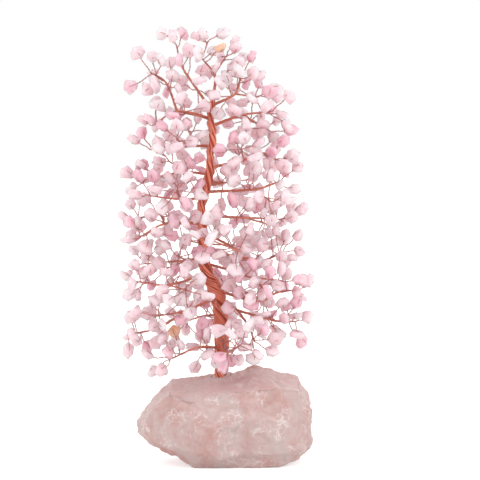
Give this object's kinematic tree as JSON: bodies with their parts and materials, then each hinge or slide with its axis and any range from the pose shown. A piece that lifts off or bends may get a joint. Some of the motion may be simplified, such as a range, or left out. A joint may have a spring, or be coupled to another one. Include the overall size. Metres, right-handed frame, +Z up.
{
  "type": "gemstone tree ornament",
  "caption": "Wire tree with tumbled quartz chips on twisted copper limbs, standing in a drilled block of raw quartz.",
  "frame": {"origin": "on the flat underside of the quartz block, on the axis of the drilled socket under the foot of the trunk", "axes": "+Z up the trunk, -Y the front that faces the viewer, +X to the viewer's right"},
  "size_m": [0.1258, 0.1103, 0.2792],
  "materials": {
    "raw_quartz": "rough fractured rose quartz",
    "quartz_chip": "tumbled rose quartz, translucent",
    "copper_wire": "copper-coloured enamelled wire",
    "clear_epoxy": "set clear glue"
  },
  "bodies": {
    "root": {"limb_01_chips": "quartz_chip", "limb_01_wires": "copper_wire", "limb_02_chips": "quartz_chip", "limb_02_wires": "copper_wire", "limb_03_chips": "quartz_chip", "limb_03_wires": "copper_wire", "limb_04_chips": "quartz_chip", "limb_04_wires": "copper_wire", "limb_05_chips": "quartz_chip", "limb_05_wires": "copper_wire", "limb_06_chips": "quartz_chip", "limb_06_wires": "copper_wire", "limb_07_chips": "quartz_chip", "limb_07_wires": "copper_wire", "limb_08_chips": "quartz_chip", "limb_08_wires": "copper_wire", "limb_09_chips": "quartz_chip", "limb_09_wires": "copper_wire", "limb_10_chips": "quartz_chip", "limb_10_wires": "copper_wire", "limb_11_chips": "quartz_chip", "limb_11_wires": "copper_wire", "limb_12_chips": "quartz_chip", "limb_12_wires": "copper_wire", "limb_13_chips": "quartz_chip", "limb_13_wires": "copper_wire", "limb_14_chips": "quartz_chip", "limb_14_wires": "copper_wire", "limb_15_chips": "quartz_chip", "limb_15_wires": "copper_wire", "limb_16_chips": "quartz_chip", "limb_16_wires": "copper_wire", "limb_17_chips": "quartz_chip", "limb_17_wires": "copper_wire", "limb_18_chips": "quartz_chip", "limb_18_wires": "copper_wire", "limb_19_chips": "quartz_chip", "limb_19_wires": "copper_wire", "limb_20_chips": "quartz_chip", "limb_20_wires": "copper_wire", "limb_21_chips": "quartz_chip", "limb_21_wires": "copper_wire", "limb_22_chips": "quartz_chip", "limb_22_wires": "copper_wire", "limb_23_chips": "quartz_chip", "limb_23_wires": "copper_wire", "limb_24_chips": "quartz_chip", "limb_24_wires": "copper_wire", "limb_25_chips": "quartz_chip", "limb_25_wires": "copper_wire", "limb_26_chips": "quartz_chip", "limb_26_wires": "copper_wire", "rock_base": "raw_quartz", "socket_glue": "clear_epoxy", "trunk_core": "copper_wire", "trunk_strands": "copper_wire"}
  },
  "joints": []
}
